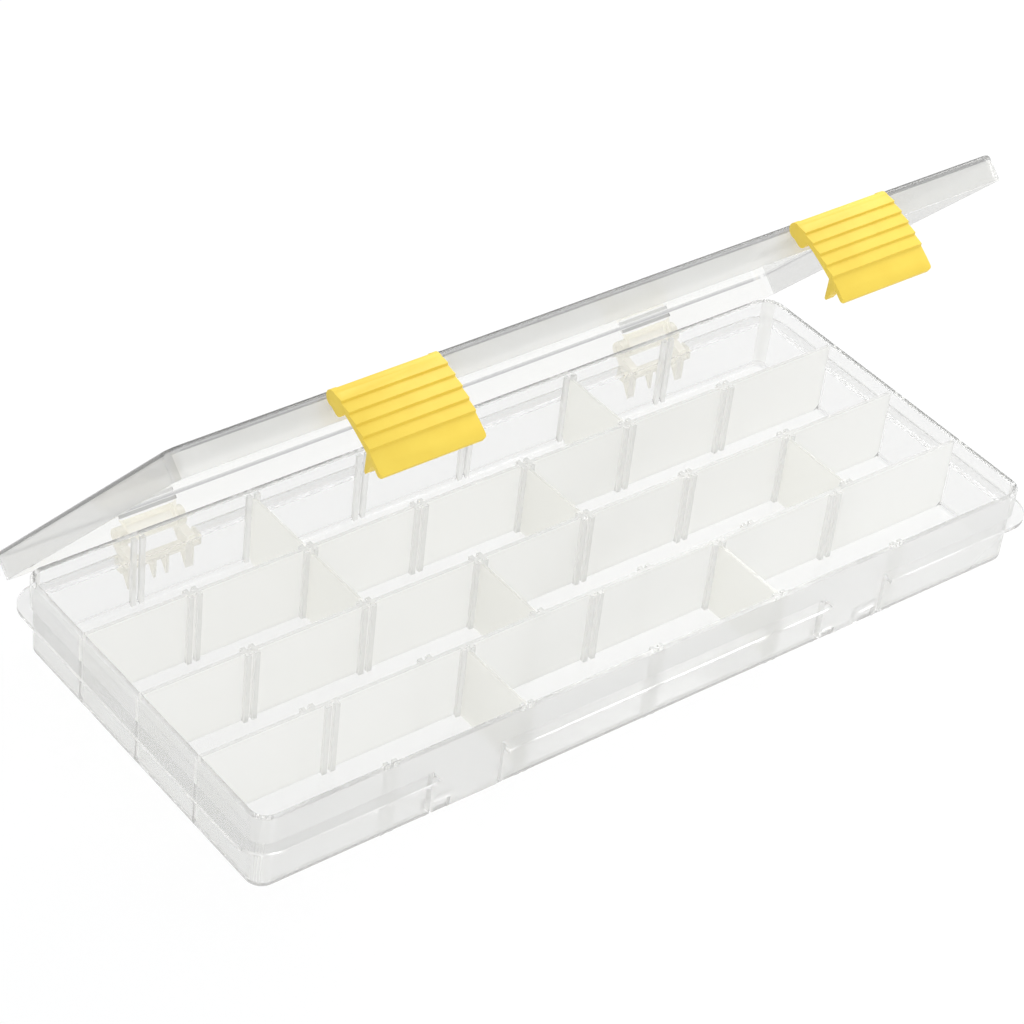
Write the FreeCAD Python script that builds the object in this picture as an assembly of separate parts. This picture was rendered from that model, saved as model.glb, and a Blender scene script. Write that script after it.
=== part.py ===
import FreeCAD, Part
import math
import os

from FreeCAD import Vector

# Clear compartment tackle box: a shallow tray with moulded rows, loose cross dividers,
# a hinged lid and two swing latches. Millimetres, Z up, X along the long side, Y towards
# the hinges. The origin is the middle of the tray's underside.
# The lid and the latches are drawn shut and then turned to the pose of the photo.

# Tray walls
rim_length = 356.0
rim_width = 152.0
rim_height = 33.5
rim_corner = 8.0
upper_wall = 2.1
base_inset = 1.2
base_round = 2.5
floor_thickness = 1.6
cavity_round = 2.4

# Ledge round the tray, just under the lid's skirt
flange_reach = 4.6
flange_top = 22.5
flange_thickness = 1.6

# Rows, columns and the rib pairs that hold the dividers
row_count = 4
column_counts = (7, 7, 7, 6)
slot_shift = -5.0
partition_thickness = 1.6
partition_drop = 0.5
slot_rib_width = 1.9
slot_rib_reach = 1.8
rib_bite = 0.6
groove_width = 2.4
groove_depth = 0.6

# Loose dividers: row (0 at the back) and slot number counted from the left
divider_places = ((0, 2), (0, 5), (1, 2), (1, 4), (2, 3), (2, 6), (3, 2), (3, 4))
divider_thickness = 1.3
divider_side_play = 0.2
divider_end_play = 0.15
divider_drop = 0.9
divider_top_round = 3.0
divider_foot_cut = 3.2

# Latch bays in the tray's front wall
bay_centre = 90.5
bay_width = 29.5
bay_face_bottom = 2.8
bay_strip_width = 1.4
bay_strip_reach = 1.6
bay_strip_foot = 5.0
catch_height = 7.0
catch_undercut = 2.0
catch_skin = 1.5
finger_notch_width = 8.0
finger_notch_height = 5.6

# Lid
lid_reach = 4.8
lid_gap = 0.2
panel_thickness = 1.6
skirt_thickness = 1.7
skirt_bottom = 24.7
lid_edge_round = 1.6
lid_corner = 6.0

# Hinges
hinge_centre = 119.0
hinge_behind_rim = 8.6
hinge_height = 26.1
barrel_length = 21.0
barrel_radius = 3.2
arm_below_panel = 3.0
stub_radius = 1.5
stub_length = 3.4
hinge_play = 0.05
ear_gap = 0.3
ear_thickness = 3.6
ear_radius = 3.4
ear_top_height = 22.4
ear_foot_height = 8.0
ear_heel_height = 16.0
hinge_bay_width = 35.0
hinge_bay_drop = 4.0
gusset_thickness = 1.3
gusset_spacing = 5.4
gusset_foot_height = 9.0
lid_window_length = 25.0
lid_window_height = 1.4
lid_window_above_arm = 0.7

# Latches
latch_centre = 100.5
latch_width = 43.0
latch_bottom = 0.5
latch_pivot_offset = 3.4
latch_top_rise = 0.0
knuckle_radius = 3.1
plate_thickness = 1.9
plate_bulge = 1.5
plate_corner = 1.4
ridge_count = 5
ridge_first_drop = 3.4
ridge_pitch = 4.7
ridge_depth = 0.9
ridge_lip = 0.5
cheek_thickness = 2.6
cheek_reach = 2.6
cheek_tail = 6.6
cheek_round = 2.0
latch_stub_radius = 1.1
latch_stub_length = 2.1
latch_stub_end_play = 0.2
latch_play = 0.05
lug_thickness = 3.6
lug_radius = 1.5
lug_side_play = 0.3
lug_pocket_play = 0.3
hook_width = 7.0
hook_side_play = 0.5
hook_catch_gap = 0.4
hook_engagement = 1.5
hook_tip_height = 1.6
hook_root_height = 4.8
hook_slope = 1.4
barb_width = 3.7
barb_inset = 1.0
barb_top = 11.8
barb_bottom = 6.2
barb_wall_gap = 3.2
barb_tip_height = 0.9

# Pose of the photo
lid_open_angle = 47.6
latch_open_angle = 13.0
knuckle_wrap_angle = 130.0

# Cuts run this far past what they cut
overrun = 3.0

half_length = rim_length / 2
half_width = rim_width / 2
base_half_length = half_length - base_inset
base_half_width = half_width - base_inset
cavity_half_length = half_length - upper_wall
cavity_half_width = half_width - upper_wall
flange_half_width = half_width + flange_reach
flange_bottom = flange_top - flange_thickness
partition_top = rim_height - partition_drop
slot_gap = divider_thickness + 2 * divider_side_play
hinge_y = half_width + hinge_behind_rim
lid_half_width = half_width + lid_reach
lid_under = rim_height + lid_gap
lid_top = lid_under + panel_thickness
latch_pivot_y = -lid_half_width - latch_pivot_offset
latch_pivot_z = lid_top + latch_top_rise - knuckle_radius
hook_top = catch_height - hook_catch_gap


def block(x_low, x_high, y_low, y_high, z_low, z_high):
    """A box between the given limits."""
    corner = Vector(x_low, y_low, z_low)
    return Part.makeBox(x_high - x_low, y_high - y_low, z_high - z_low, corner)


def between(a, b):
    """Two limits in rising order."""
    return min(a, b), max(a, b)


def rounded_block(length, width, z_low, z_high, corner):
    """A centred box with rounded upright corners."""
    box = block(-length / 2, length / 2, -width / 2, width / 2, z_low, z_high)
    upright = [edge for edge in box.Edges if edge.BoundBox.ZLength > corner / length]
    return box.makeFillet(corner, upright)


def round_level(shape, level, radius):
    """Rounds every edge of the shape that lies at one height."""
    near = radius / 1000
    edges = [e for e in shape.Edges
             if abs(e.BoundBox.ZMin - level) < near and abs(e.BoundBox.ZMax - level) < near]
    return shape.makeFillet(radius, edges)


def prism(points, x_low, x_high):
    """A straight piece along X with an outline given as Y, Z points."""
    corners = [Vector(x_low, y, z) for y, z in points]
    face = Part.Face(Part.makePolygon(corners + corners[:1]))
    return face.extrude(Vector(x_high - x_low, 0, 0))


def rod(x_low, x_high, y, z, radius):
    """A round bar along X."""
    return Part.makeCylinder(radius, x_high - x_low, Vector(x_low, y, z), Vector(1, 0, 0))


def row_limits(row):
    """Front and back faces of one row of compartments."""
    pitch = 2 * cavity_half_width / row_count
    back = cavity_half_width - row * pitch
    front = back - pitch
    if row > 0:
        back -= partition_thickness / 2
    if row < row_count - 1:
        front += partition_thickness / 2
    return front, back


def slot_position(row, slot):
    """Where a divider stands along X."""
    pitch = 2 * cavity_half_length / column_counts[row]
    return -cavity_half_length + slot * pitch + slot_shift


def slot_ribs():
    """Pairs of upright ribs on both sides of every row."""
    ribs = []
    low = floor_thickness - rib_bite
    for row in range(row_count):
        front, back = row_limits(row)
        for slot in range(1, column_counts[row]):
            for side in (-1, 1):
                near = slot_position(row, slot) + side * slot_gap / 2
                x_low, x_high = between(near, near + side * slot_rib_width)
                ribs.append(block(x_low, x_high, front - rib_bite, front + slot_rib_reach,
                                  low, partition_top))
                ribs.append(block(x_low, x_high, back - slot_rib_reach, back + rib_bite,
                                  low, partition_top))
    return ribs


def partitions():
    """The long upright walls between the rows."""
    walls = []
    reach = cavity_half_length + rib_bite
    for row in range(row_count - 1):
        front = row_limits(row)[0]
        walls.append(block(-reach, reach, front - partition_thickness, front,
                           floor_thickness - rib_bite, partition_top))
    return walls


def end_grooves():
    """Shallow upright grooves outside the end walls, one behind each partition's end."""
    grooves = []
    for row in range(row_count - 1):
        middle = row_limits(row)[0] - partition_thickness / 2
        for side in (-1, 1):
            bottom = side * (base_half_length - groove_depth)
            x_low, x_high = between(bottom, side * (half_length + overrun))
            grooves.append(block(x_low, x_high, middle - groove_width / 2, middle + groove_width / 2,
                                 -overrun, flange_bottom))
    return grooves


def tray_shell():
    """Outer walls with the ledge, before the inside is taken out."""
    base = rounded_block(2 * base_half_length, 2 * base_half_width, 0, flange_top, rim_corner - base_inset)
    base = round_level(base, 0, base_round)
    upper = rounded_block(rim_length, rim_width, flange_bottom, rim_height, rim_corner)
    ledge = rounded_block(rim_length + 2 * flange_reach, rim_width + 2 * flange_reach,
                          flange_bottom, flange_top, rim_corner + flange_reach)
    low, high = flange_bottom - overrun, flange_top + overrun
    for centre in (-hinge_centre, hinge_centre):
        ledge = ledge.cut(block(centre - hinge_bay_width / 2, centre + hinge_bay_width / 2,
                                base_half_width, flange_half_width + overrun, low, high))
    for centre in (-bay_centre, bay_centre):
        ledge = ledge.cut(block(centre - bay_width / 2, centre + bay_width / 2,
                                -flange_half_width - overrun, -base_half_width, low, high))
    return base.multiFuse([upper, ledge])


def cavity():
    """The room inside the tray."""
    room = rounded_block(2 * cavity_half_length, 2 * cavity_half_width,
                         floor_thickness, rim_height + overrun, rim_corner - upper_wall)
    return round_level(room, floor_thickness, cavity_round)


def hinge_bay(centre):
    """Lowered ledge, ears and gussets for one hinge on the tray's back wall."""
    inner = half_width - rib_bite
    low = flange_bottom - hinge_bay_drop
    pieces = [block(centre - hinge_bay_width / 2, centre + hinge_bay_width / 2,
                    inner, flange_half_width, low, low + flange_thickness)]
    for side in (-1, 1):
        edge = centre + side * hinge_bay_width / 2
        x_low, x_high = between(edge, edge - side * flange_thickness)
        pieces.append(block(x_low, x_high, inner, flange_half_width, low, flange_top))
        near = centre + side * (barrel_length / 2 + ear_gap)
        pieces.append(hinge_ear(*between(near, near + side * ear_thickness)))
        middle = centre + side * gusset_spacing / 2
        pieces.append(prism([(inner, low), (flange_half_width, low), (inner, gusset_foot_height)],
                            middle - gusset_thickness / 2, middle + gusset_thickness / 2))
    return pieces


def hinge_ear(x_low, x_high):
    """One ear with its round end and the hole for the lid's stub."""
    inner = half_width - rib_bite
    diagonal = ear_radius * math.sin(math.pi / 4)
    web = prism([(inner, ear_foot_height), (flange_half_width, ear_heel_height),
                 (hinge_y + diagonal, hinge_height - diagonal),
                 (hinge_y - diagonal, hinge_height - diagonal),
                 (inner, ear_top_height)], x_low, x_high)
    ear = web.fuse(rod(x_low, x_high, hinge_y, hinge_height, ear_radius))
    return ear.cut(rod(x_low - overrun, x_high + overrun, hinge_y, hinge_height, stub_radius + hinge_play))


def latch_bay(centre):
    """Flat front and end strips of one latch bay in the front wall."""
    left, right = centre - bay_width / 2, centre + bay_width / 2
    pieces = [block(left, right, -half_width, -cavity_half_width, bay_face_bottom, flange_top)]
    for side in (-1, 1):
        near = centre + side * bay_width / 2
        x_low, x_high = between(near, near + side * bay_strip_width)
        pieces.append(block(x_low, x_high, -half_width - bay_strip_reach, -base_half_width + rib_bite,
                            bay_strip_foot, flange_top))
    return pieces


def front_pockets():
    """Ends and heights of the finger notches and of the pockets for the latches' hooks."""
    reach = hook_width / 2 + hook_side_play
    pockets = []
    for side in (-1, 1):
        left = side * bay_centre - bay_width / 2
        pockets.append((left, left + finger_notch_width, finger_notch_height))
        pockets.append((side * latch_centre - reach, side * latch_centre + reach, catch_height))
    return pockets


def front_pocket(left, right, top):
    """A pocket in the foot of the front wall, open below and in front."""
    return block(left, right, -flange_half_width - overrun, -half_width + catch_undercut, -overrun, top)


def pocket_skin(left, right, top):
    """The thicker wall inside the tray that keeps such a pocket closed."""
    return block(left - catch_skin, right + catch_skin, -cavity_half_width - rib_bite,
                 -half_width + catch_undercut + catch_skin, floor_thickness - rib_bite, top + catch_skin)


def tray():
    """The whole tray as one moulding."""
    body = tray_shell().cut(cavity())
    extras = partitions() + slot_ribs()
    cuts = end_grooves()
    for centre in (-bay_centre, bay_centre):
        extras += latch_bay(centre)
    for limits in front_pockets():
        extras.append(pocket_skin(*limits))
        cuts.append(front_pocket(*limits))
    for centre in (-hinge_centre, hinge_centre):
        extras += hinge_bay(centre)
    return body.multiFuse(extras).cut(Part.makeCompound(cuts)).removeSplitter()


def divider(row, slot):
    """A loose plate standing in a pair of slots."""
    front, back = row_limits(row)
    front += divider_end_play
    back -= divider_end_play
    top = partition_top - divider_drop
    middle = slot_position(row, slot)
    points = [(front, floor_thickness), (back, floor_thickness), (back, top), (front, top)]
    if row == 0:
        points[1:2] = [(back - divider_foot_cut, floor_thickness),
                       (back, floor_thickness + divider_foot_cut)]
    if row == row_count - 1:
        points[0:1] = [(front, floor_thickness + divider_foot_cut),
                       (front + divider_foot_cut, floor_thickness)]
    plate = prism(points, middle - divider_thickness / 2, middle + divider_thickness / 2)
    corners = [e for e in plate.Edges
               if e.BoundBox.ZMin > top - divider_drop and e.BoundBox.YLength < divider_drop]
    return plate.makeFillet(divider_top_round, corners)


def lid_hinge(centre):
    """Barrel, arm and stubs of one hinge on the lid."""
    left, right = centre - barrel_length / 2, centre + barrel_length / 2
    inner = lid_half_width - skirt_thickness
    arm_top = lid_under - arm_below_panel
    arm = prism([(inner, skirt_bottom), (inner, arm_top), (lid_half_width, arm_top),
                 (hinge_y, hinge_height + barrel_radius), (hinge_y, hinge_height - barrel_radius),
                 (lid_half_width, skirt_bottom)], left, right)
    barrel = rod(left, right, hinge_y, hinge_height, barrel_radius)
    stubs = rod(left - stub_length, right + stub_length, hinge_y, hinge_height, stub_radius)
    return [arm, barrel, stubs]


def lid_window(centre):
    """The moulding slot through the skirt above one hinge arm."""
    low = lid_under - arm_below_panel + lid_window_above_arm
    return block(centre - lid_window_length / 2, centre + lid_window_length / 2,
                 lid_half_width - skirt_thickness - overrun, lid_half_width + overrun,
                 low, low + lid_window_height)


def lid_lugs(centre):
    """Lugs with stubs on the lid's front skirt that carry one latch."""
    outer = latch_width / 2 - cheek_thickness - lug_side_play
    pieces = []
    for side in (-1, 1):
        end = centre + side * outer
        x_low, x_high = between(end, end - side * lug_thickness)
        stub_low, stub_high = between(end, end + side * latch_stub_length)
        pieces.append(block(x_low, x_high, latch_pivot_y, -lid_half_width + skirt_thickness,
                            latch_pivot_z - lug_radius, latch_pivot_z + lug_radius))
        pieces.append(rod(x_low, x_high, latch_pivot_y, latch_pivot_z, lug_radius))
        pieces.append(rod(stub_low, stub_high, latch_pivot_y, latch_pivot_z, latch_stub_radius))
    return pieces


def lid():
    """The lid as one moulding, shut."""
    length = rim_length + 2 * lid_reach
    width = rim_width + 2 * lid_reach
    cover = rounded_block(length, width, skirt_bottom, lid_top, lid_corner)
    cover = round_level(cover, lid_top, lid_edge_round)
    room = rounded_block(length - 2 * skirt_thickness, width - 2 * skirt_thickness,
                         skirt_bottom - overrun, lid_under, lid_corner - skirt_thickness)
    extras = []
    cuts = [room]
    for centre in (-hinge_centre, hinge_centre):
        extras += lid_hinge(centre)
        cuts.append(lid_window(centre))
    for centre in (-latch_centre, latch_centre):
        extras += lid_lugs(centre)
    return cover.cut(cuts).multiFuse(extras).removeSplitter()


def plate_front(z):
    """How far out the latch's front stands at one height."""
    share = (latch_pivot_z - z) / (latch_pivot_z - latch_bottom)
    return latch_pivot_y - knuckle_radius - 4 * plate_bulge * share * (1 - share)


def plate_outline():
    """Edges of the latch plate's cross-section: curled top, ridged front, smooth back."""
    wrap = math.radians(knuckle_wrap_angle)
    middle = (wrap + math.pi) / 2

    def around(radius, angle):
        return Vector(0, latch_pivot_y + radius * math.cos(angle), latch_pivot_z + radius * math.sin(angle))

    def on_front(z, out):
        return Vector(0, plate_front(z) + out, z)

    hollow = knuckle_radius - plate_thickness
    front = [around(knuckle_radius, math.pi)]
    for ridge in range(ridge_count):
        z = latch_pivot_z - ridge_first_drop - ridge * ridge_pitch
        front += [on_front(z, -ridge_depth), on_front(z - ridge_lip, 0)]
    front += [on_front((front[-1].z + latch_bottom) / 2, 0), on_front(latch_bottom, 0)]
    back_low = on_front(latch_bottom, plate_thickness)
    back_middle = on_front((latch_pivot_z + latch_bottom) / 2, plate_thickness)
    edges = [Part.Arc(around(knuckle_radius, wrap), around(knuckle_radius, middle), front[0]).toShape()]
    edges += [Part.LineSegment(a, b).toShape() for a, b in zip(front, front[1:] + [back_low])]
    edges.append(Part.Arc(back_low, back_middle, around(hollow, math.pi)).toShape())
    edges.append(Part.Arc(around(hollow, math.pi), around(hollow, middle), around(hollow, wrap)).toShape())
    edges.append(Part.LineSegment(around(hollow, wrap), around(knuckle_radius, wrap)).toShape())
    return Part.Wire(edges)


def latch_cheek(x_low, x_high):
    """One end cheek: a round about the pivot with a tail down the skirt."""
    back = latch_pivot_y + cheek_reach
    low = latch_pivot_z - cheek_tail
    tail = block(x_low, x_high, plate_front(low) + plate_thickness / 2, back, low, latch_pivot_z)
    corner = [e for e in tail.Edges
              if e.BoundBox.YMin > back - cheek_round and e.BoundBox.ZMax < low + cheek_round]
    round_end = rod(x_low, x_high, latch_pivot_y, latch_pivot_z, knuckle_radius)
    return tail.makeFillet(cheek_round, corner).fuse(round_end)


def latch_hook(centre):
    """The middle hook that goes under the catch of the bay."""
    root = plate_front(hook_top - hook_root_height / 2) + plate_thickness / 2
    tip = -half_width + hook_engagement
    points = [(root, hook_top + hook_slope), (-lid_half_width, hook_top), (tip, hook_top),
              (tip, hook_top - hook_tip_height), (root, hook_top - hook_root_height)]
    return prism(points, centre - hook_width / 2, centre + hook_width / 2)


def latch_barb(x_low, x_high):
    """A small end barb with a sloping top and a flat underside."""
    root = plate_front((barb_top + barb_bottom) / 2) + plate_thickness / 2
    tip = -base_half_width - barb_wall_gap
    points = [(root, barb_top), (tip, barb_bottom + barb_tip_height),
              (tip, barb_bottom), (root, barb_bottom)]
    return prism(points, x_low, x_high)


def latch_plate(left, right):
    """The ridged plate with its two rounded lower corners."""
    section = Part.Face(plate_outline())
    section.translate(Vector(left, 0, 0))
    plate = section.extrude(Vector(right - left, 0, 0))
    outline = block(left, right, latch_pivot_y - latch_width, latch_pivot_y + latch_width,
                    latch_bottom, lid_top + latch_top_rise)
    lower = [e for e in outline.Edges
             if e.BoundBox.ZMax < latch_bottom + plate_corner and e.BoundBox.XLength < plate_corner]
    return plate.common(outline.makeFillet(plate_corner, lower))


def latch(centre):
    """One latch as one moulding, shut."""
    extras = [latch_hook(centre)]
    cuts = []
    for side in (-1, 1):
        edge = centre + side * latch_width / 2
        inside = edge - side * cheek_thickness
        extras.append(latch_cheek(*between(edge, inside)))
        barb = edge - side * barb_inset
        extras.append(latch_barb(*between(barb, barb - side * barb_width)))
        hole_end = inside + side * (latch_stub_length + latch_stub_end_play - lug_side_play)
        cuts.append(rod(*between(inside, hole_end), latch_pivot_y, latch_pivot_z,
                        latch_stub_radius + latch_play))
        pocket = inside - side * (lug_thickness + 2 * lug_side_play)
        cuts.append(rod(*between(inside, pocket), latch_pivot_y, latch_pivot_z,
                        lug_radius + lug_pocket_play))
    plate = latch_plate(centre - latch_width / 2, centre + latch_width / 2)
    return plate.multiFuse(extras).cut(Part.makeCompound(cuts)).removeSplitter()


def open_lid(shape):
    """Turns a piece of the lid to the photographed opening."""
    shape.rotate(Vector(0, hinge_y, hinge_height), Vector(-1, 0, 0), lid_open_angle)
    return shape


def open_latch(shape):
    """Swings a latch out from the shut lid and then opens it with the lid."""
    shape.rotate(Vector(0, latch_pivot_y, latch_pivot_z), Vector(-1, 0, 0), latch_open_angle)
    return open_lid(shape)


def save(name, shape):
    """Writes one piece to its own file."""
    shape.exportStep("parts/" + name + ".step")


os.makedirs("parts", exist_ok=True)
save("tray", tray())
save("lid", open_lid(lid()))
save("latch_left", open_latch(latch(-latch_centre)))
save("latch_right", open_latch(latch(latch_centre)))
for number, (row, slot) in enumerate(divider_places):
    save("divider_" + str(number + 1), divider(row, slot))
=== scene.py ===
import math

import bmesh
import bpy
from mathutils import Matrix, Vector


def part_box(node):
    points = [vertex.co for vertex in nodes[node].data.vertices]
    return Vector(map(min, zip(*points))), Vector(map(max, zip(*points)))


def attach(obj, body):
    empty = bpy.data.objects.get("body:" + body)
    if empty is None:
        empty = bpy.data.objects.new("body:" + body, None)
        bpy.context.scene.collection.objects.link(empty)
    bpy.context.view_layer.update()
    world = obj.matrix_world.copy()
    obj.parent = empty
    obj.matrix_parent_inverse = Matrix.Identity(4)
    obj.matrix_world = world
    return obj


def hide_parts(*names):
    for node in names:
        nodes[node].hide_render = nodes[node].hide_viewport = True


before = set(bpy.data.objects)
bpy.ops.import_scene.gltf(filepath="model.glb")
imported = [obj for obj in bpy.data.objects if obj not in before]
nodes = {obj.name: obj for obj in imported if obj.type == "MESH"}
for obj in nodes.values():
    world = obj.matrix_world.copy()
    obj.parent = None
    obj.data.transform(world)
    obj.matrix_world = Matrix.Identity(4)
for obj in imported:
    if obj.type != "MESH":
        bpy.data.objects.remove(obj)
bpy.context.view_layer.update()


# Tray
# One clear polypropylene moulding: floor, walls, ledge, partitions with pairs of slot ribs,
# hinge ears at the back and latch bays in front. The webs inside come out of the mould frosted
# and the thick hinge ears look warm. Painted shade makes the ribs and the front and left walls
# greyer, the left wall most.

room_half_length = 0.1757
room_half_width = 0.0737
floor_top = 0.0018
foot_fillet_top = 0.0042
foot_fillet_reach = 0.0025
front_pocket_top = 0.0095
hinge_centre = 0.119
hinge_half_width = 0.0178
hinge_wall = 0.0765
hinge_low = 0.0085
partition_pitch = 0.03695
web_half_thickness = 0.0009
level_slope = 0.6
rim_low = 0.03
weld_distance = 0.000002
tray_crease = math.radians(30.0)
tray_clear_tint = (0.975, 0.975, 0.975)
# Painted shade: the darker tint below, blended in by each part's depth value, darkens the left and front
# walls more than the back and right, as light falls from the right and back, and greys the ribs, rim,
# ledge, floor and hinge ears along thick edges and in hollows.
tray_shade_tint = (0.87, 0.87, 0.87)
tray_haze_tone = (0.98, 0.977, 0.962)
warm_haze_tone = (0.98, 0.945, 0.85, 1.0)
tray_roughness = (0.16, 0.28)
hinge_haze, hinge_shade = 0.72, 0.3
web_haze, web_shade = 0.8, 0.05
rib_haze, rib_shade = 0.66, 1.0
rib_top_haze = 0.45
level_haze = 0.12
back_wall_haze, back_wall_shade = 0.1, 0.35
front_wall_haze, front_wall_shade = 0.28, 0.6
left_wall_shade = 1.0
floor_shade = 0.2
rim_shade = 0.4
ledge_shade = 0.65


def moulding_form(node):
    """A connected working copy of a moulding."""
    form = bmesh.new()
    form.from_mesh(nodes[node].data)
    bmesh.ops.remove_doubles(form, verts=form.verts, dist=weld_distance)
    return form


def shaded_piece(name, form, crease):
    """The finished piece, smooth over its curves and crisp at its edges."""
    for face in form.faces:
        face.smooth = True
        face.material_index = 0
    for edge in form.edges:
        edge.smooth = len(edge.link_faces) == 2 and edge.calc_face_angle() < crease
    mesh = bpy.data.meshes.new(name)
    form.to_mesh(mesh)
    form.free()
    piece = bpy.data.objects.new(name, mesh)
    bpy.context.scene.collection.objects.link(piece)
    return piece


def mark_faces(piece, mark, chosen):
    """Writes a mark of nought to one on each face, read by the material as an attribute."""
    values = piece.data.attributes.new(mark, "FLOAT", "FACE").data
    for face in piece.data.polygons:
        values[face.index].value = chosen(face.center, face.normal)


def polypropylene(name, clear_tint, shade_and_tone_tint, haze_tone, roughness):
    """Clear moulded polypropylene. The marks on its faces say how hazy, how warm and how deep in tone
    each is; the deep mark is painted shade on the tray and lid and an even grey tone on the dividers.
    Slow flow clouds, a fine polish and a faint ripple vary it."""
    material = bpy.data.materials.new(name)
    material.use_nodes = True
    tree = material.node_tree
    tree.nodes.clear()
    new, link = tree.nodes.new, tree.links.new
    marks = {}
    for mark in ("haze", "deep", "warm"):
        marks[mark] = new("ShaderNodeAttribute")
        marks[mark].attribute_name = mark
    place = new("ShaderNodeTexCoord")
    flow = new("ShaderNodeTexNoise")
    flow.inputs["Scale"].default_value = 18.0
    flow.inputs["Detail"].default_value = 3.0
    link(place.outputs["Object"], flow.inputs["Vector"])
    cloud = new("ShaderNodeMath")
    cloud.operation = "MULTIPLY_ADD"
    cloud.inputs[1].default_value = 0.14
    cloud.inputs[2].default_value = -0.07
    link(flow.outputs["Fac"], cloud.inputs[0])
    # The deep mark blends the clear tint toward the darker tint: painted shade on the tray, the lid and the
    # slot sheets, an even grey tone on the dividers.
    depth = new("ShaderNodeMath")
    depth.operation = "ADD"
    depth.use_clamp = True
    link(cloud.outputs[0], depth.inputs[0])
    link(marks["deep"].outputs["Fac"], depth.inputs[1])
    tint = new("ShaderNodeMix")
    tint.data_type = "RGBA"
    tint.inputs[6].default_value = clear_tint + (1.0,)
    tint.inputs[7].default_value = shade_and_tone_tint + (1.0,)
    link(depth.outputs[0], tint.inputs[0])
    polish = new("ShaderNodeTexNoise")
    polish.inputs["Scale"].default_value = 160.0
    polish.inputs["Detail"].default_value = 2.0
    link(place.outputs["Object"], polish.inputs["Vector"])
    rough = new("ShaderNodeMapRange")
    rough.inputs["To Min"].default_value = roughness[0]
    rough.inputs["To Max"].default_value = roughness[1]
    link(polish.outputs["Fac"], rough.inputs["Value"])
    clouded = new("ShaderNodeMath")
    clouded.operation = "MULTIPLY_ADD"
    clouded.inputs[1].default_value = 0.8
    clouded.inputs[2].default_value = 0.38
    link(marks["haze"].outputs["Fac"], clouded.inputs[0])
    gloss = new("ShaderNodeMath")
    gloss.operation = "MULTIPLY"
    link(rough.outputs["Result"], gloss.inputs[0])
    link(clouded.outputs[0], gloss.inputs[1])
    ripple = new("ShaderNodeBump")
    ripple.inputs["Strength"].default_value = 0.05
    ripple.inputs["Distance"].default_value = 0.0005
    link(flow.outputs["Fac"], ripple.inputs["Height"])
    body = new("ShaderNodeBsdfPrincipled")
    body.inputs["Transmission Weight"].default_value = 1.0
    body.inputs["IOR"].default_value = 1.45
    link(tint.outputs[2], body.inputs["Base Color"])
    link(gloss.outputs[0], body.inputs["Roughness"])
    link(ripple.outputs["Normal"], body.inputs["Normal"])
    haze_cloud = new("ShaderNodeValToRGB")
    haze_cloud.color_ramp.elements[0].position = 0.3
    haze_cloud.color_ramp.elements[0].color = tuple(0.985 * part for part in haze_tone) + (1.0,)
    haze_cloud.color_ramp.elements[1].position = 0.7
    haze_cloud.color_ramp.elements[1].color = haze_tone + (1.0,)
    link(flow.outputs["Fac"], haze_cloud.inputs["Fac"])
    warm_tone = new("ShaderNodeMix")
    warm_tone.data_type = "RGBA"
    link(marks["warm"].outputs["Fac"], warm_tone.inputs[0])
    link(haze_cloud.outputs["Color"], warm_tone.inputs[6])
    warm_tone.inputs[7].default_value = warm_haze_tone
    milk_tone = new("ShaderNodeMix")
    milk_tone.data_type = "RGBA"
    milk_tone.blend_type = "MULTIPLY"
    milk_tone.inputs[0].default_value = 1.0
    link(warm_tone.outputs[2], milk_tone.inputs[6])
    link(tint.outputs[2], milk_tone.inputs[7])
    skin = new("ShaderNodeBsdfPrincipled")
    skin.inputs["IOR"].default_value = 1.45
    link(milk_tone.outputs[2], skin.inputs["Base Color"])
    link(rough.outputs["Result"], skin.inputs["Roughness"])
    link(ripple.outputs["Normal"], skin.inputs["Normal"])
    glow = new("ShaderNodeBsdfTranslucent")
    link(milk_tone.outputs[2], glow.inputs["Color"])
    milk = new("ShaderNodeMixShader")
    milk.inputs["Fac"].default_value = 0.5
    link(skin.outputs["BSDF"], milk.inputs[1])
    link(glow.outputs["BSDF"], milk.inputs[2])
    sheet = new("ShaderNodeMixShader")
    link(marks["haze"].outputs["Fac"], sheet.inputs["Fac"])
    link(body.outputs["BSDF"], sheet.inputs[1])
    link(milk.outputs["Shader"], sheet.inputs[2])
    rays = new("ShaderNodeLightPath")
    passing = new("ShaderNodeMath")
    passing.operation = "MAXIMUM"
    link(rays.outputs["Is Shadow Ray"], passing.inputs[0])
    link(rays.outputs["Is Diffuse Ray"], passing.inputs[1])
    through = new("ShaderNodeBsdfTransparent")
    through.inputs["Color"].default_value = (0.975, 0.975, 0.97, 1.0)
    lit = new("ShaderNodeMixShader")
    link(passing.outputs[0], lit.inputs["Fac"])
    link(sheet.outputs["Shader"], lit.inputs[1])
    link(through.outputs["BSDF"], lit.inputs[2])
    out = new("ShaderNodeOutputMaterial")
    link(lit.outputs["Shader"], out.inputs["Surface"])
    return material


def tray_warm(spot, facing):
    """One for the ears and ledge of a hinge, nought elsewhere."""
    beside = abs(abs(spot.x) - hinge_centre) < hinge_half_width
    return 1.0 if beside and spot.y > hinge_wall and spot.z > hinge_low else 0.0


def in_room(spot):
    """True for the partitions and ribs inside the tray, false for its walls, floor and foot."""
    inside = abs(spot.x) < room_half_length and abs(spot.y) < room_half_width and spot.z > floor_top
    near_wall = (abs(spot.x) > room_half_length - foot_fillet_reach
                 or abs(spot.y) > room_half_width - foot_fillet_reach)
    foot = near_wall and spot.z < foot_fillet_top
    pocket = spot.y < -room_half_width + foot_fillet_reach and spot.z < front_pocket_top
    return inside and not foot and not pocket


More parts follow.
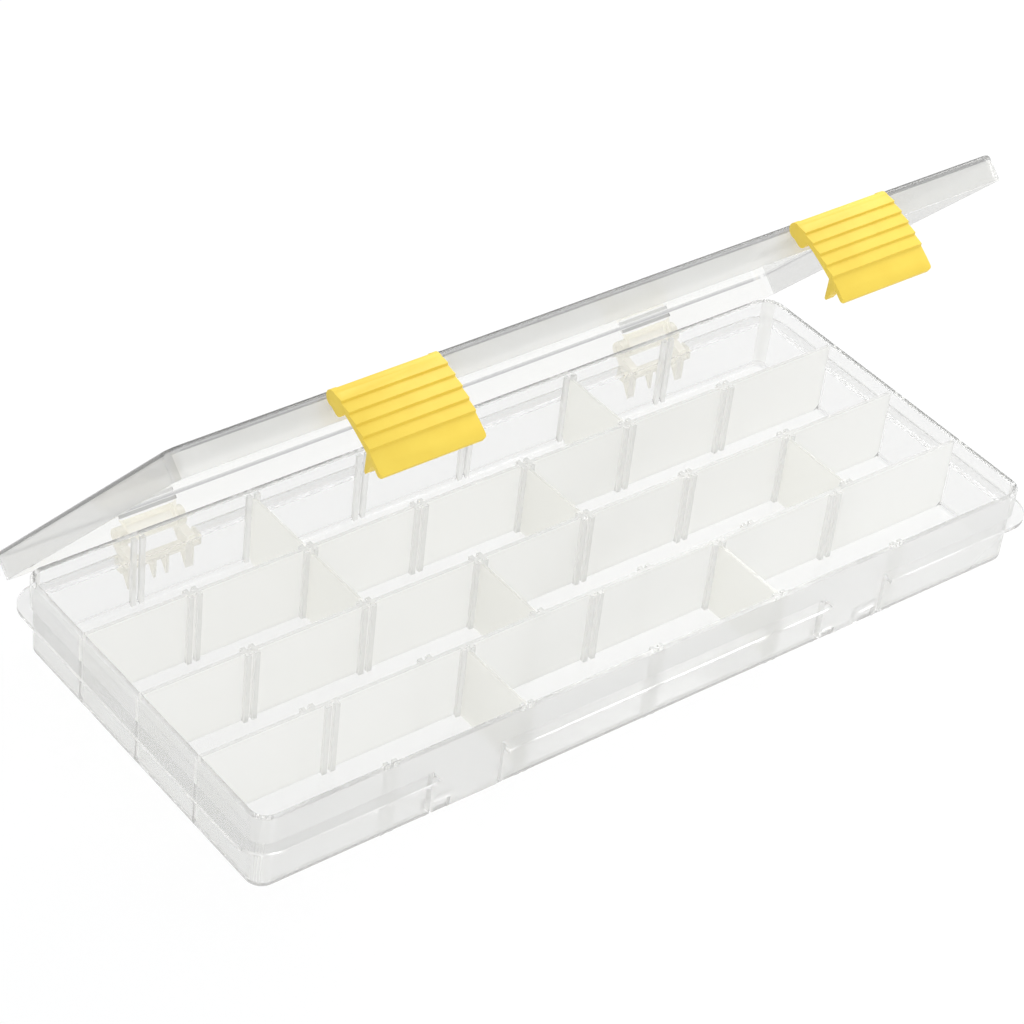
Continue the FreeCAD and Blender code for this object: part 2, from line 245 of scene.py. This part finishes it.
def on_web(spot):
    """True for the flat sides of the partitions, false for the ribs on them."""
    return min(abs(spot.y), abs(abs(spot.y) - partition_pitch)) < web_half_thickness


def at_back_or_right(spot):
    """True for the back and right walls, the clearest walls, with the least painted shade of the four."""
    return spot.y > room_half_width or spot.x > room_half_length


def tray_haze(spot, facing):
    """Frosted webs and ribs, slightly hazy front and left walls, the others and level faces clear."""
    if tray_warm(spot, facing):
        return hinge_haze
    if abs(facing.z) > level_slope:
        return rib_top_haze if in_room(spot) else level_haze
    if in_room(spot):
        return web_haze if on_web(spot) else rib_haze
    return back_wall_haze if at_back_or_right(spot) else front_wall_haze


def tray_deep(spot, facing):
    """Painted shade: light on the webs and the floor, deeper on the walls and ledge, deepest on the ribs
    and the left wall, standing in for light falling from the right and back and for dark thick edges.
    """
    level = abs(facing.z) > level_slope
    if in_room(spot):
        return web_shade if on_web(spot) and not level else rib_shade
    if spot.z < floor_top:
        return floor_shade
    if tray_warm(spot, facing):
        return hinge_shade
    if level:
        return rim_shade if spot.z > rim_low else ledge_shade
    if at_back_or_right(spot):
        return back_wall_shade
    return left_wall_shade if spot.x < -room_half_length else front_wall_shade


tray = shaded_piece("tray_moulding", moulding_form("tray"), tray_crease)
mark_faces(tray, "haze", tray_haze)
mark_faces(tray, "deep", tray_deep)
mark_faces(tray, "warm", tray_warm)
tray.data.materials.append(polypropylene("tray_clear_polypropylene", tray_clear_tint, tray_shade_tint,
                                         tray_haze_tone, tray_roughness))
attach(tray, "tray")
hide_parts("tray")


# Dividers
# Eight loose plates of the same plastic, frosted all over, with rounded top corners. They drop
# into the slots between the ribs; those in the outer rows are cut off at the wall's foot.

divider_top_round = 0.003
divider_top_steps = 6
divider_foot_cut = 0.0032
divider_weld = 0.00001
divider_clear_tint = (0.975, 0.975, 0.965)
divider_deep_tint = (0.87, 0.87, 0.86)
divider_haze_tone = (0.97, 0.965, 0.94)
divider_side_haze, divider_edge_haze = 0.74, 0.2
divider_depth = 0.42
outer_row_line = 0.07
divider_boxes = [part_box("divider_" + str(number)) for number in range(1, 9)]
divider_rows = [0 if box[1][1] > outer_row_line else 2 if box[0][1] < -outer_row_line else 1
                for box in divider_boxes]


def divider_tree(plastic):
    """Instances of three plate outlines on points that say which outline they take."""
    tree = bpy.data.node_groups.new("divider_plates", "GeometryNodeTree")
    face = tree.interface
    face.new_socket("Points", in_out="INPUT", socket_type="NodeSocketGeometry")
    for title in ("Thickness", "Height", "Back length", "Inner length", "Front length",
                  "Top round", "Foot cut"):
        face.new_socket(title, in_out="INPUT", socket_type="NodeSocketFloat")
    face.new_socket("Plates", in_out="OUTPUT", socket_type="NodeSocketGeometry")
    new, link = tree.nodes.new, tree.links.new
    given = new("NodeGroupInput")

    def sum_node(operation, first, second):
        node = new("ShaderNodeMath")
        node.operation = operation
        for socket, value in zip(node.inputs, (first, second)):
            if isinstance(value, float):
                socket.default_value = value
            else:
                link(value, socket)
        return node.outputs[0]

    shapes = new("GeometryNodeJoinGeometry")
    where = new("GeometryNodeInputPosition")
    parts = new("ShaderNodeSeparateXYZ")
    link(where.outputs["Position"], parts.inputs["Vector"])
    upper = sum_node("GREATER_THAN", parts.outputs["Y"], 0.0)
    lower = sum_node("LESS_THAN", parts.outputs["Y"], 0.0)
    top_radius = sum_node("MULTIPLY", upper, given.outputs["Top round"])
    wall_sides = {"Back length": sum_node("GREATER_THAN", parts.outputs["X"], 0.0), "Inner length": None,
                  "Front length": sum_node("LESS_THAN", parts.outputs["X"], 0.0)}
    half_depth = sum_node("MULTIPLY", given.outputs["Thickness"], -0.5)
    back = new("ShaderNodeCombineXYZ")
    link(half_depth, back.inputs["X"])
    for length in ("Front length", "Inner length", "Back length"):
        outline = new("GeometryNodeCurvePrimitiveQuadrilateral")
        link(given.outputs[length], outline.inputs["Width"])
        link(given.outputs["Height"], outline.inputs["Height"])
        finished = new("GeometryNodeFilletCurve")
        finished.mode = "POLY"
        finished.inputs["Count"].default_value = divider_top_steps
        link(outline.outputs["Curve"], finished.inputs["Curve"])
        link(top_radius, finished.inputs["Radius"])
        if wall_sides[length]:
            corner = sum_node("MULTIPLY", wall_sides[length], lower)
            chamfer = new("GeometryNodeFilletCurve")
            chamfer.mode = "POLY"
            chamfer.inputs["Count"].default_value = 1
            link(finished.outputs["Curve"], chamfer.inputs["Curve"])
            link(sum_node("MULTIPLY", corner, given.outputs["Foot cut"]), chamfer.inputs["Radius"])
            finished = chamfer
        fill = new("GeometryNodeFillCurve")
        fill.mode = "NGONS"
        link(finished.outputs["Curve"], fill.inputs["Curve"])
        deep = new("GeometryNodeExtrudeMesh")
        deep.inputs["Individual"].default_value = False
        link(fill.outputs["Mesh"], deep.inputs["Mesh"])
        link(given.outputs["Thickness"], deep.inputs["Offset Scale"])
        under = new("GeometryNodeFlipFaces")
        link(fill.outputs["Mesh"], under.inputs["Mesh"])
        solid = new("GeometryNodeJoinGeometry")
        link(deep.outputs["Mesh"], solid.inputs["Geometry"])
        link(under.outputs["Mesh"], solid.inputs["Geometry"])
        upright = new("GeometryNodeTransform")
        upright.inputs["Rotation"].default_value = (math.radians(90.0), 0.0, math.radians(90.0))
        link(solid.outputs["Geometry"], upright.inputs["Geometry"])
        link(back.outputs["Vector"], upright.inputs["Translation"])
        single = new("GeometryNodeGeometryToInstance")
        link(upright.outputs["Geometry"], single.inputs["Geometry"])
        link(single.outputs["Instances"], shapes.inputs["Geometry"])
    which = new("GeometryNodeInputNamedAttribute")
    which.data_type = "INT"
    which.inputs["Name"].default_value = "row"
    spread = new("GeometryNodeInstanceOnPoints")
    spread.inputs["Pick Instance"].default_value = True
    link(given.outputs["Points"], spread.inputs["Points"])
    link(shapes.outputs["Geometry"], spread.inputs["Instance"])
    link(which.outputs["Attribute"], spread.inputs["Instance Index"])
    real = new("GeometryNodeRealizeInstances")
    link(spread.outputs["Instances"], real.inputs["Geometry"])
    joined = new("GeometryNodeMergeByDistance")
    joined.inputs["Distance"].default_value = divider_weld
    link(real.outputs["Geometry"], joined.inputs["Geometry"])
    coat = new("GeometryNodeSetMaterial")
    coat.inputs["Material"].default_value = plastic
    link(joined.outputs["Geometry"], coat.inputs["Geometry"])
    out = new("NodeGroupOutput")
    link(coat.outputs["Geometry"], out.inputs["Plates"])
    return tree


def divider_haze(spot, facing):
    """Frosted sides and clear edges."""
    return divider_side_haze if abs(facing.x) > level_slope else divider_edge_haze


divider_plastic = polypropylene("divider_clear_polypropylene", divider_clear_tint, divider_deep_tint,
                                divider_haze_tone, tray_roughness)
divider_points = bpy.data.meshes.new("divider_points")
divider_points.from_pydata([(Vector(low) + Vector(high)) / 2 for low, high in divider_boxes], [], [])
divider_points.attributes.new("row", "INT", "POINT").data.foreach_set("value", divider_rows)
divider_spread = bpy.data.objects.new("divider_spread", divider_points)
bpy.context.scene.collection.objects.link(divider_spread)
divider_plates = divider_spread.modifiers.new("plates", "NODES")
divider_plates.node_group = divider_tree(divider_plastic)
divider_low, divider_high = divider_boxes[0]
row_lengths = [[box[1][1] - box[0][1] for box, row in zip(divider_boxes, divider_rows) if row == kind][0]
               for kind in (0, 1, 2)]
divider_sizes = {"Thickness": divider_high[0] - divider_low[0], "Height": divider_high[2] - divider_low[2],
                 "Back length": row_lengths[0], "Inner length": row_lengths[1],
                 "Front length": row_lengths[2],
                 "Top round": divider_top_round, "Foot cut": divider_foot_cut}
for socket in divider_plates.node_group.interface.items_tree:
    if socket.name in divider_sizes:
        divider_plates[socket.identifier] = divider_sizes[socket.name]
divider_mesh = bpy.data.meshes.new_from_object(
    divider_spread.evaluated_get(bpy.context.evaluated_depsgraph_get()))
divider_mesh.name = "divider_set"
bpy.data.objects.remove(divider_spread)
dividers = bpy.data.objects.new("divider_set", divider_mesh)
mark_faces(dividers, "haze", divider_haze)
mark_faces(dividers, "deep", lambda spot, facing: divider_depth)
bpy.context.scene.collection.objects.link(dividers)
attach(dividers, "tray")
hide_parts(*["divider_" + str(number) for number in range(1, 9)])


# Lid
# A flat clear cover with a short skirt all round, moulded in one with the barrels and stubs it
# turns on and the lugs that carry the latches. Painted shade darkens its turned edge, where thick
# clear plastic looks dark, and the skirt's left end, which faces away from the light.

lid_open = math.radians(47.6)
lid_axis = Vector((0.0, 0.0846, 0.0261))
lid_edge_half_length = 0.1821
lid_edge_half_width = 0.0790
lid_edge_low = 0.0330
lid_arm_half_width = 0.0145
lid_warm_reach = 0.0056
lid_clear_tint = (0.985, 0.985, 0.975)
# Painted shade: the lid's darker grey, taken fully on the turned edge, where thick clear plastic looks
# dark, and mostly on the skirt's left end, which faces away from the light.
lid_shade_tint = (0.62, 0.62, 0.625)
lid_haze_tone = (0.97, 0.965, 0.945)
lid_roughness = (0.06, 0.14)
lid_clear_haze, lid_clear_shade = 0.08, 0.03
lid_skirt_haze, lid_skirt_shade = 0.3, 0.0
lid_left_end_shade = 0.7
lid_edge_shade = 1.0


def lid_shut(spot):
    """Where a point of the open lid lies when the lid is shut."""
    return Matrix.Rotation(lid_open, 3, "X") @ (spot - lid_axis) + lid_axis


def lid_edge(spot):
    """True for the turned edge along the panel's outside, which takes the darkest painted shade."""
    shut = lid_shut(spot)
    outside = abs(shut.x) > lid_edge_half_length or abs(shut.y) > lid_edge_half_width
    return outside and shut.z > lid_edge_low


def lid_panel(facing):
    """True for the panel's broad faces."""
    return abs((Matrix.Rotation(lid_open, 3, "X") @ facing).z) > level_slope


def lid_warm(spot, facing):
    """One for the barrels, their arms and stubs."""
    beside = abs(abs(spot.x) - hinge_centre) < lid_arm_half_width
    return 1.0 if beside and (spot - lid_axis).yz.length < lid_warm_reach else 0.0


def lid_clear(spot, facing):
    """True for the panel and the skirt at the back, which are the clearest and take almost no painted
    shade.
    """
    return lid_panel(facing) or lid_shut(spot).y > room_half_width


def lid_haze(spot, facing):
    """A clear panel and back, a hazier skirt and cloudy barrels."""
    if lid_warm(spot, facing):
        return hinge_haze
    return lid_clear_haze if lid_clear(spot, facing) else lid_skirt_haze


def lid_deep(spot, facing):
    """Painted shade: darkest along the turned edge, dark on the skirt's left end, light on the panel and
    the back.
    """
    if lid_edge(spot):
        return lid_edge_shade
    if lid_clear(spot, facing):
        return lid_clear_shade
    return lid_left_end_shade if facing.x < -level_slope else lid_skirt_shade


# The skirt's faces are cut along the turned edge's lower line, so that the edge takes its own painted
# shade.
lid_up = Matrix.Rotation(-lid_open, 3, "X") @ Vector((0.0, 0.0, 1.0))
lid_form = moulding_form("lid")
bmesh.ops.bisect_plane(lid_form, geom=lid_form.verts[:] + lid_form.edges[:] + lid_form.faces[:],
                       dist=weld_distance / 2, plane_no=lid_up,
                       plane_co=lid_axis + (lid_edge_low - lid_axis.z) * lid_up)
lid = shaded_piece("lid_moulding", lid_form, tray_crease)
mark_faces(lid, "haze", lid_haze)
mark_faces(lid, "deep", lid_deep)
mark_faces(lid, "warm", lid_warm)
lid.data.materials.append(polypropylene("lid_clear_polypropylene", lid_clear_tint, lid_shade_tint,
                                        lid_haze_tone, lid_roughness))
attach(lid, "lid")
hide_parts("lid")


# Painted shade in the lid's slots
# A thin dark sheet in the moulding slot above each hinge arm is painted shade for the shadowed gap
# there; seen end-on through the thick skirt it makes the dark line over the hinge.

slot_half_length = 0.01248
slot_low, slot_high = 0.03142, 0.03278
slot_back, slot_front = 0.08045, 0.07975
shade_sheet_crown = 0.00012
shade_sheet_haze, shade_sheet_darkness = 0.6, 1.0

shade_sheet_corners = []
shade_sheet_faces = []
for centre in (-hinge_centre, hinge_centre):
    first = len(shade_sheet_corners)
    for depth, crown in ((slot_front, -shade_sheet_crown), (slot_back, shade_sheet_crown)):
        for height, swell in ((slot_low, 0.0), ((slot_low + slot_high) / 2, crown), (slot_high, 0.0)):
            for reach in (-slot_half_length, slot_half_length):
                shut = Vector((centre + reach, depth + swell, height))
                shade_sheet_corners.append(Matrix.Rotation(-lid_open, 3, "X") @ (shut - lid_axis) + lid_axis)
    for corners in ((0, 1, 3, 2), (2, 3, 5, 4), (7, 6, 8, 9), (9, 8, 10, 11), (1, 0, 6, 7), (4, 5, 11, 10),
                    (0, 2, 8, 6), (2, 4, 10, 8), (3, 1, 7, 9), (5, 3, 9, 11)):
        shade_sheet_faces.append([first + corner for corner in corners])
shade_sheet_mesh = bpy.data.meshes.new("hinge_slot_painted_shade")
shade_sheet_mesh.from_pydata(shade_sheet_corners, [], shade_sheet_faces)
shade_sheet = bpy.data.objects.new("hinge_slot_painted_shade", shade_sheet_mesh)
bpy.context.scene.collection.objects.link(shade_sheet)
mark_faces(shade_sheet, "haze", lambda spot, facing: shade_sheet_haze)
mark_faces(shade_sheet, "deep", lambda spot, facing: shade_sheet_darkness)
shade_sheet.data.materials.append(lid.data.materials[0])
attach(shade_sheet, "lid")


# Latches
# Two bright yellow opaque mouldings with stepped ridges for the thumb, curled over the lid's
# front edge and turning on stubs there. Their edges are slightly rounded by the mould.

latch_low_tone = (0.865, 0.625, 0.066, 1.0)
latch_high_tone = (0.895, 0.665, 0.078, 1.0)
latch_roughness = (0.46, 0.60)
latch_flat = math.radians(1.0)
latch_sharp = math.radians(25.0)
latch_crease = math.radians(35.0)
latch_edge_round = 0.00022
latch_edge_steps = 2


def latch_finish():
    """Satin yellow moulded plastic with a fine spark-eroded grain and faint flow marks."""
    material = bpy.data.materials.new("latch_yellow_plastic")
    material.use_nodes = True
    tree = material.node_tree
    new, link = tree.nodes.new, tree.links.new
    body = tree.nodes["Principled BSDF"]
    body.inputs["IOR"].default_value = 1.49
    place = new("ShaderNodeTexCoord")
    cloud = new("ShaderNodeTexNoise")
    cloud.inputs["Scale"].default_value = 90.0
    cloud.inputs["Detail"].default_value = 4.0
    link(place.outputs["Object"], cloud.inputs["Vector"])
    tone = new("ShaderNodeValToRGB")
    tone.color_ramp.elements[0].position = 0.35
    tone.color_ramp.elements[0].color = latch_low_tone
    tone.color_ramp.elements[1].position = 0.65
    tone.color_ramp.elements[1].color = latch_high_tone
    link(cloud.outputs["Fac"], tone.inputs["Fac"])
    link(tone.outputs["Color"], body.inputs["Base Color"])
    grain = new("ShaderNodeTexNoise")
    grain.inputs["Scale"].default_value = 2600.0
    grain.inputs["Detail"].default_value = 2.0
    link(place.outputs["Object"], grain.inputs["Vector"])
    rough = new("ShaderNodeMapRange")
    rough.inputs["To Min"].default_value = latch_roughness[0]
    rough.inputs["To Max"].default_value = latch_roughness[1]
    link(grain.outputs["Fac"], rough.inputs["Value"])
    link(rough.outputs["Result"], body.inputs["Roughness"])
    bump = new("ShaderNodeBump")
    bump.inputs["Strength"].default_value = 0.12
    bump.inputs["Distance"].default_value = 0.0001
    link(grain.outputs["Fac"], bump.inputs["Height"])
    link(bump.outputs["Normal"], body.inputs["Normal"])
    return material


def softened_form(node):
    """A working copy of a latch with its tessellation cleaned and its sharp edges rounded off."""
    form = moulding_form(node)
    bmesh.ops.dissolve_limit(form, angle_limit=latch_flat, verts=form.verts, edges=form.edges)
    sharp = [e for e in form.edges if len(e.link_faces) == 2 and e.calc_face_angle() > latch_sharp]
    bmesh.ops.bevel(form, geom=sharp, offset=latch_edge_round, offset_type="OFFSET",
                    segments=latch_edge_steps, profile=0.5, affect="EDGES", clamp_overlap=True)
    bmesh.ops.triangulate(form, faces=form.faces)
    bmesh.ops.recalc_face_normals(form, faces=form.faces)
    return form


latch_plastic = latch_finish()
for side in ("latch_left", "latch_right"):
    latch = shaded_piece(side + "_moulding", softened_form(side), latch_crease)
    latch.data.materials.append(latch_plastic)
    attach(latch, side)
    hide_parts(side)


# Stage
# A pale floor, an even white surround and two soft lamps, seen from the photograph's side.

floor_tone = (0.93, 0.93, 0.93, 1.0)
floor_glow_share = 0.8
sky_tone = (0.97, 0.985, 1.0, 1.0)
sky_strength = 0.80
key_place, key_size, key_watts = (0.65, 0.3, 1.0), 0.7, 7.2
fill_place, fill_size, fill_watts = (-0.1, -1.2, 1.1), 1.2, 2.8
lamp_target = (0.0, 0.0, 0.05)


def floor_finish():
    """Matt white that stays near white where it is lit and keeps the box's shadow."""
    material = bpy.data.materials.new("white_floor")
    material.use_nodes = True
    tree = material.node_tree
    tree.nodes.clear()
    new, link = tree.nodes.new, tree.links.new
    matt = new("ShaderNodeBsdfDiffuse")
    matt.inputs["Color"].default_value = floor_tone
    glow = new("ShaderNodeEmission")
    glow.inputs["Color"].default_value = (1.0, 1.0, 1.0, 1.0)
    rays = new("ShaderNodeLightPath")
    seen = new("ShaderNodeMath")
    seen.operation = "MAXIMUM"
    link(rays.outputs["Is Camera Ray"], seen.inputs[0])
    link(rays.outputs["Is Glossy Ray"], seen.inputs[1])
    seen_through = new("ShaderNodeMath")
    seen_through.operation = "MAXIMUM"
    link(seen.outputs[0], seen_through.inputs[0])
    link(rays.outputs["Is Transmission Ray"], seen_through.inputs[1])
    share = new("ShaderNodeMath")
    share.operation = "MULTIPLY"
    share.inputs[1].default_value = floor_glow_share
    link(seen_through.outputs[0], share.inputs[0])
    mix = new("ShaderNodeMixShader")
    link(share.outputs[0], mix.inputs["Fac"])
    link(matt.outputs["BSDF"], mix.inputs[1])
    link(glow.outputs["Emission"], mix.inputs[2])
    out = new("ShaderNodeOutputMaterial")
    link(mix.outputs["Shader"], out.inputs["Surface"])
    return material


floor_reach = 30.0
floor_drop = 0.0003
floor_mesh = bpy.data.meshes.new("floor")
floor_mesh.from_pydata([(-floor_reach, -floor_reach, -floor_drop), (floor_reach, -floor_reach, -floor_drop),
                        (floor_reach, floor_reach, -floor_drop), (-floor_reach, floor_reach, -floor_drop)],
                       [], [(0, 1, 2, 3)])
floor_mesh.materials.append(floor_finish())
floor = bpy.data.objects.new("floor", floor_mesh)
bpy.context.scene.collection.objects.link(floor)

world = bpy.data.worlds.new("white_surround")
world.use_nodes = True
sky = world.node_tree
sky.nodes.clear()
sky_rays = sky.nodes.new("ShaderNodeLightPath")
sky_seen = sky.nodes.new("ShaderNodeMath")
sky_seen.operation = "MAXIMUM"
sky.links.new(sky_rays.outputs["Is Camera Ray"], sky_seen.inputs[0])
sky.links.new(sky_rays.outputs["Is Transmission Ray"], sky_seen.inputs[1])
sky_gloss = sky.nodes.new("ShaderNodeMath")
sky_gloss.operation = "MAXIMUM"
sky.links.new(sky_seen.outputs[0], sky_gloss.inputs[0])
sky.links.new(sky_rays.outputs["Is Glossy Ray"], sky_gloss.inputs[1])
sky_light = sky.nodes.new("ShaderNodeBackground")
sky_light.inputs["Color"].default_value = sky_tone
sky_light.inputs["Strength"].default_value = sky_strength
sky_white = sky.nodes.new("ShaderNodeBackground")
sky_white.inputs["Color"].default_value = (1.0, 1.0, 1.0, 1.0)
sky_white.inputs["Strength"].default_value = 1.0
sky_mix = sky.nodes.new("ShaderNodeMixShader")
sky.links.new(sky_gloss.outputs[0], sky_mix.inputs["Fac"])
sky.links.new(sky_light.outputs["Background"], sky_mix.inputs[1])
sky.links.new(sky_white.outputs["Background"], sky_mix.inputs[2])
sky_out = sky.nodes.new("ShaderNodeOutputWorld")
sky.links.new(sky_mix.outputs["Shader"], sky_out.inputs["Surface"])
bpy.context.scene.world = world


def soft_lamp(name, place, target, size, watts):
    """A square soft box aimed at a point."""
    lamp = bpy.data.lights.new(name, "AREA")
    lamp.shape = "SQUARE"
    lamp.size = size
    lamp.energy = watts
    holder = bpy.data.objects.new(name, lamp)
    holder.location = place
    holder.rotation_euler = (Vector(target) - Vector(place)).to_track_quat("-Z", "Y").to_euler()
    bpy.context.scene.collection.objects.link(holder)


soft_lamp("key_lamp", key_place, lamp_target, key_size, key_watts)
soft_lamp("fill_lamp", fill_place, lamp_target, fill_size, fill_watts)

view_turn = math.radians(-41.1914)
view_drop = math.radians(39.27135)
view_roll = math.radians(6.67837)
view_offset = (0.0193528, -0.0026892, 1.2224223)
view_focal_pixels = 3236.0
view_centre_pixels = (483.0, 593.0)
frame_pixels = 1024.0

ahead = Vector((-math.sin(view_turn) * math.cos(view_drop), math.cos(view_turn) * math.cos(view_drop),
                -math.sin(view_drop)))
level_right = Vector((math.cos(view_turn), math.sin(view_turn), 0.0))
level_up = level_right.cross(ahead)
right = math.cos(view_roll) * level_right + math.sin(view_roll) * level_up
up = math.cos(view_roll) * level_up - math.sin(view_roll) * level_right
lens = bpy.data.cameras.new("photo_camera")
lens.sensor_width = 36.0
lens.lens = view_focal_pixels / frame_pixels * lens.sensor_width
lens.shift_x = (frame_pixels / 2 - view_centre_pixels[0]) / frame_pixels
lens.shift_y = (view_centre_pixels[1] - frame_pixels / 2) / frame_pixels
camera = bpy.data.objects.new("photo_camera", lens)
turn = Matrix((right, up, -ahead)).transposed().to_4x4()
spot = -(view_offset[0] * right + view_offset[1] * up + view_offset[2] * ahead)
camera.matrix_world = Matrix.Translation(spot) @ turn
bpy.context.scene.collection.objects.link(camera)
bpy.context.scene.camera = camera
bpy.context.scene.view_settings.view_transform = "Standard"
bpy.context.scene.cycles.max_bounces = 24
bpy.context.scene.cycles.transmission_bounces = 24
bpy.context.scene.cycles.transparent_max_bounces = 32
